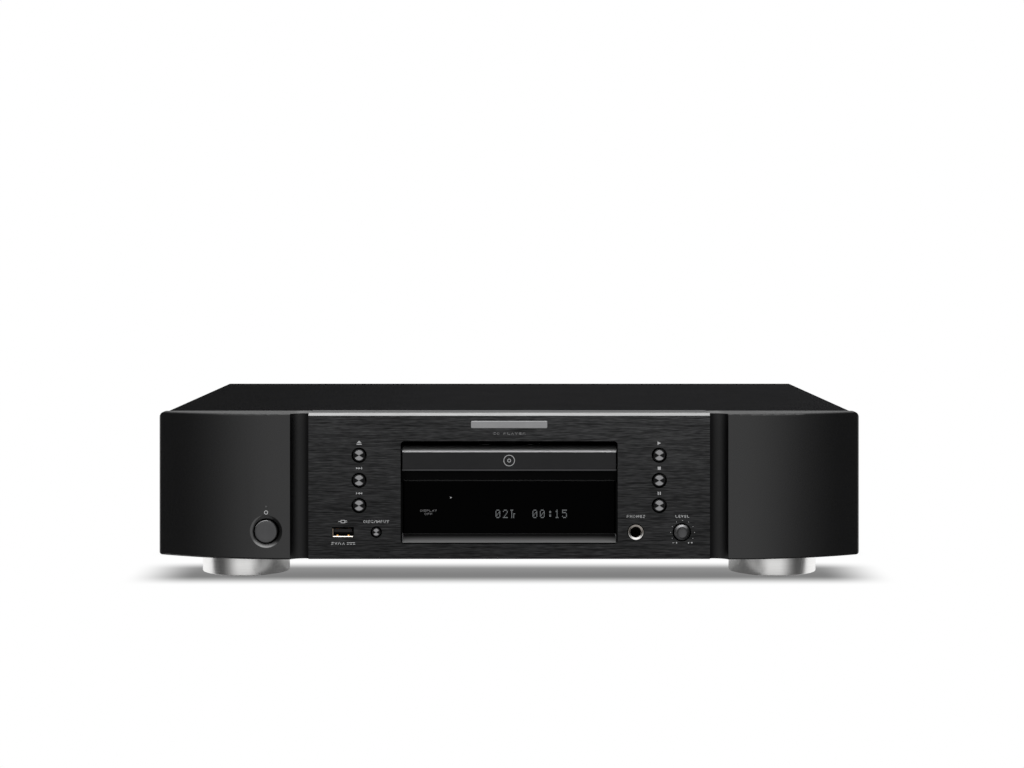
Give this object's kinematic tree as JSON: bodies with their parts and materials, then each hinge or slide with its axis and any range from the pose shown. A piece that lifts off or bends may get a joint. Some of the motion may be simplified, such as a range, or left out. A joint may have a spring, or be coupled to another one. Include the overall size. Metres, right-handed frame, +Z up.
{
  "type": "cd player",
  "caption": "Full-width hi-fi CD player with curved front wings, a central sliding disc tray above a display, round keys, headphone socket, level knob and round feet.",
  "frame": {"origin": "centre of the footprint on the surface it stands on", "axes": "+Z up; the front panel faces -Y; +X is to the right seen from the front"},
  "size_m": [0.44, 0.341, 0.105],
  "materials": {
    "fascia_aluminium": "brushed, black anodised",
    "satin_moulding": "satin",
    "black_plastic": "satin",
    "tray_front_black": "brushed, black anodised",
    "smoked_acrylic": "polished",
    "badge_metal": "satin",
    "painted_steel": "fine satin texture",
    "plated_steel": "zinc plated",
    "foot_aluminium": "turned",
    "foot_rubber": "matt",
    "black_screw": "black oxide",
    "key_metal": "spun",
    "power_key": "spun, black anodised",
    "lamp_lens": "clear",
    "knob_metal": "turned, black anodised",
    "jack_metal": "nickel plated, turned",
    "socket_metal": "nickel plated",
    "gold_plate": "gold plated",
    "circuit_board": "solder resist",
    "component_black": "satin",
    "display_glass": "polished",
    "tray_plastic": "fine texture",
    "loader_plastic": "satin",
    "white_gear": "satin",
    "motor_steel": "plated",
    "rod_steel": "polished",
    "sled_metal": "die cast",
    "lens_glass": "coated",
    "belt_rubber": "matt",
    "core_steel": "varnished laminations",
    "coil_copper": "enamelled wire",
    "inlet_plastic": "satin"
  },
  "bodies": {
    "casing": {"fascia_plate": "fascia_aluminium", "front_moulding": "satin_moulding", "window_bezel": "black_plastic", "display_window": "smoked_acrylic", "badge": "badge_metal", "chassis_pan": "plated_steel", "rear_panel": "painted_steel", "top_cover": "painted_steel", "feet": "foot_aluminium", "foot_pads": "foot_rubber", "cover_screws": "black_screw", "base_screws": "black_screw", "power_lamp": "lamp_lens", "power_switch": "component_black", "level_pot": "component_black", "headphone_jack": "jack_metal", "usb_port": "socket_metal", "usb_tongue": "component_black", "front_board": "circuit_board", "key_switches": "component_black", "display_module": "display_glass", "loader_chassis": "loader_plastic", "clamp_bridge": "painted_steel", "loading_motor": "motor_steel", "loading_belt": "belt_rubber", "mech_brackets": "plated_steel", "mech_dampers": "foot_rubber", "transformer_core": "core_steel", "transformer_coil": "coil_copper", "main_board": "circuit_board", "board_components": "component_black", "phono_sockets": "gold_plate", "optical_socket": "inlet_plastic", "ac_inlet": "inlet_plastic"},
    "tray": {"disc_tray": "tray_plastic", "tray_front": "tray_front_black"},
    "tray_gear": {"tray_gear": "white_gear"},
    "pulley_gear": {"pulley_gear": "white_gear"},
    "motor_pulley": {"motor_pulley": "white_gear"},
    "cam_slider": {"cam_slider": "white_gear"},
    "traverse": {"traverse_frame": "plated_steel", "spindle_motor": "motor_steel", "guide_rods": "rod_steel", "sled_motor": "motor_steel"},
    "turntable": {"turntable_hub": "black_plastic"},
    "clamp_puck": {"clamp_puck": "black_plastic"},
    "sled": {"pickup_sled": "sled_metal"},
    "lens": {"objective_lens": "lens_glass"},
    "sled_gear": {"sled_gear": "white_gear"},
    "sled_pinion": {"sled_pinion": "white_gear"},
    "power_button": {"power_button": "power_key"},
    "level_knob": {"level_knob": "knob_metal"},
    "optical_shutter": {"optical_shutter": "inlet_plastic"},
    "eject_button": {"eject_button": "key_metal"},
    "skip_forward_button": {"skip_forward_button": "key_metal"},
    "skip_back_button": {"skip_back_button": "key_metal"},
    "disc_input_button": {"disc_input_button": "key_metal"},
    "play_button": {"play_button": "key_metal"},
    "stop_button": {"stop_button": "key_metal"},
    "pause_button": {"pause_button": "key_metal"}
  },
  "joints": [
    {"name": "tray_slide", "type": "slide", "parent": "casing", "child": "tray", "axis": [0, -1, 0], "range_m": [0, 0.14]},
    {"name": "tray_gear_turn", "type": "hinge", "parent": "casing", "child": "tray_gear", "pos_m": [0.04, -0.121, 0.066], "axis": [0, 0, 1], "range_deg": [-668.95, 0]},
    {"name": "pulley_turn", "type": "hinge", "parent": "casing", "child": "pulley_gear", "pos_m": [0.022, -0.121, 0.06], "axis": [0, 0, 1], "range_deg": [0, 1337.4]},
    {"name": "motor_pulley_turn", "type": "hinge", "parent": "casing", "child": "motor_pulley", "pos_m": [-0.014, -0.121, 0.058], "axis": [0, 0, 1], "range_deg": [0, 5349.61]},
    {"name": "cam_slide", "type": "slide", "parent": "casing", "child": "cam_slider", "axis": [1, 0, 0], "range_m": [0, 0.024]},
    {"name": "traverse_tilt", "type": "hinge", "parent": "casing", "child": "traverse", "pos_m": [0, 0.032, 0.069], "axis": [1, 0, 0], "range_deg": [0, 4.51]},
    {"name": "spindle_spin", "type": "hinge", "parent": "traverse", "child": "turntable", "pos_m": [0, -0.086, 0.075], "axis": [0, 0, 1], "continuous": true},
    {"name": "puck_spin", "type": "hinge", "parent": "casing", "child": "clamp_puck", "pos_m": [0, -0.086, 0.084], "axis": [0, 0, 1], "continuous": true},
    {"name": "sled_slide", "type": "slide", "parent": "traverse", "child": "sled", "axis": [0, 1, 0], "range_m": [0, 0.033]},
    {"name": "sled_gear_turn", "type": "hinge", "parent": "traverse", "child": "sled_gear", "pos_m": [-0.0408, -0.042, 0.06], "axis": [0, 0, 1], "range_deg": [0, 394.41]},
    {"name": "sled_pinion_turn", "type": "hinge", "parent": "traverse", "child": "sled_pinion", "pos_m": [-0.046, -0.02352, 0.06], "axis": [0, 0, 1], "range_deg": [-1182.73, 0]},
    {"name": "lens_focus", "type": "slide", "parent": "sled", "child": "lens", "axis": [0, 0, 1], "range_m": [-0.0005, 0.0005], "stiffness_N_per_m": 20},
    {"name": "power_press", "type": "slide", "parent": "casing", "child": "power_button", "axis": [0, 1, 0], "range_m": [0, 0.003], "stiffness_N_per_m": 400, "springref_m": -0.003},
    {"name": "level_turn", "type": "hinge", "parent": "casing", "child": "level_knob", "pos_m": [0.1065, -0.15, 0.0316], "axis": [0, -1, 0], "range_deg": [-150, 150]},
    {"name": "shutter_swing", "type": "hinge", "parent": "casing", "child": "optical_shutter", "pos_m": [0.062, 0.1636, 0.05905], "axis": [-1, 0, 0], "range_deg": [0, 75], "stiffness_Nm_per_rad": 0.0002, "springref_deg": -45.84},
    {"name": "eject_press", "type": "slide", "parent": "casing", "child": "eject_button", "axis": [0, 1, 0], "range_m": [0, 0.0006], "stiffness_N_per_m": 300, "springref_m": -0.003},
    {"name": "skip_forward_press", "type": "slide", "parent": "casing", "child": "skip_forward_button", "axis": [0, 1, 0], "range_m": [0, 0.0006], "stiffness_N_per_m": 300, "springref_m": -0.003},
    {"name": "skip_back_press", "type": "slide", "parent": "casing", "child": "skip_back_button", "axis": [0, 1, 0], "range_m": [0, 0.0006], "stiffness_N_per_m": 300, "springref_m": -0.003},
    {"name": "disc_input_press", "type": "slide", "parent": "casing", "child": "disc_input_button", "axis": [0, 1, 0], "range_m": [0, 0.0006], "stiffness_N_per_m": 300, "springref_m": -0.003},
    {"name": "play_press", "type": "slide", "parent": "casing", "child": "play_button", "axis": [0, 1, 0], "range_m": [0, 0.0006], "stiffness_N_per_m": 300, "springref_m": -0.003},
    {"name": "stop_press", "type": "slide", "parent": "casing", "child": "stop_button", "axis": [0, 1, 0], "range_m": [0, 0.0006], "stiffness_N_per_m": 300, "springref_m": -0.003},
    {"name": "pause_press", "type": "slide", "parent": "casing", "child": "pause_button", "axis": [0, 1, 0], "range_m": [0, 0.0006], "stiffness_N_per_m": 300, "springref_m": -0.003}
  ],
  "couplings": [
    {"joint": "tray_gear_turn", "follows": "tray_slide", "rad_per_m": -83.333},
    {"joint": "pulley_turn", "follows": "tray_slide", "rad_per_m": 166.67},
    {"joint": "motor_pulley_turn", "follows": "tray_slide", "rad_per_m": 666.67},
    {"joint": "traverse_tilt", "follows": "cam_slide", "rad_per_m": 3.2725},
    {"joint": "sled_gear_turn", "follows": "sled_slide", "rad_per_m": 208.33},
    {"joint": "sled_pinion_turn", "follows": "sled_slide", "rad_per_m": -625}
  ]
}
